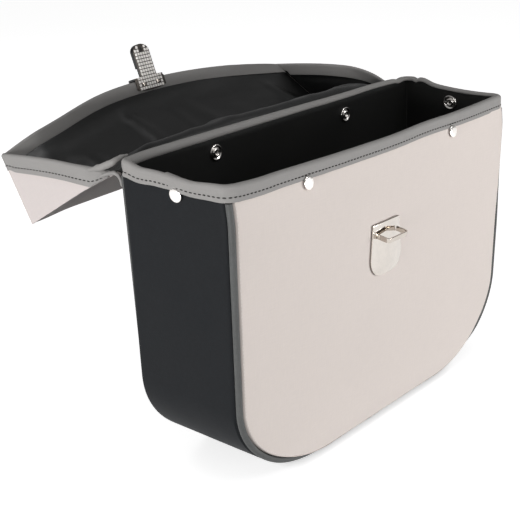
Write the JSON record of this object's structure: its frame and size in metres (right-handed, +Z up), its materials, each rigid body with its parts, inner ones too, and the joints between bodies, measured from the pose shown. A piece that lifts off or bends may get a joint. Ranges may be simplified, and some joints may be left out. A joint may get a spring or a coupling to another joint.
{
  "type": "moped saddlebag",
  "caption": "Moped saddlebag standing open: a stiff pale canvas body with a black gusset, grey piping and bound mouth, its lid thrown back, with press studs, a keeper and a clasp.",
  "frame": {"origin": "middle of the flat foot, on the surface that the bag stands on", "axes": "+X along the bag's width, +Y from the front to the back panel, +Z up"},
  "size_m": [0.4686, 0.3568, 0.355],
  "materials": {
    "pale_cloth": "fine pale canvas weave, matte",
    "black_leathercloth": "black coated cloth, satin with a fine grain",
    "black_lining": "black lining cloth, soft satin",
    "grey_tape": "grey coated binding tape, matte",
    "grey_piping": "grey coated piping, satin",
    "nickel": "polished nickel plate",
    "black_plastic": "black plastic, matte"
  },
  "bodies": {
    "root": {"front_panel": "pale_cloth", "front_lining": "black_lining", "back_panel": "black_leathercloth", "back_lining": "black_lining", "gusset": "black_leathercloth", "gusset_lining": "black_lining", "piping_front": "grey_piping", "piping_back": "grey_piping", "mouth_binding": "grey_tape", "press_stud_front_left": "nickel", "press_stud_front_right": "nickel", "press_stud_back_left": "nickel", "press_stud_back_right": "nickel", "press_stud_gusset_left": "nickel", "press_stud_gusset_right": "nickel", "keeper_plate": "nickel", "keeper_loop": "nickel", "lid_panel": "pale_cloth", "lid_lining": "black_lining", "lid_binding": "grey_tape", "lid_wing_left": "pale_cloth", "lid_wing_lining_left": "black_lining", "lid_wing_right": "pale_cloth", "lid_wing_lining_right": "black_lining", "clasp_body": "black_plastic", "clasp_plate": "nickel", "clasp_rivet_left": "nickel", "clasp_rivet_right": "nickel"}
  },
  "joints": []
}
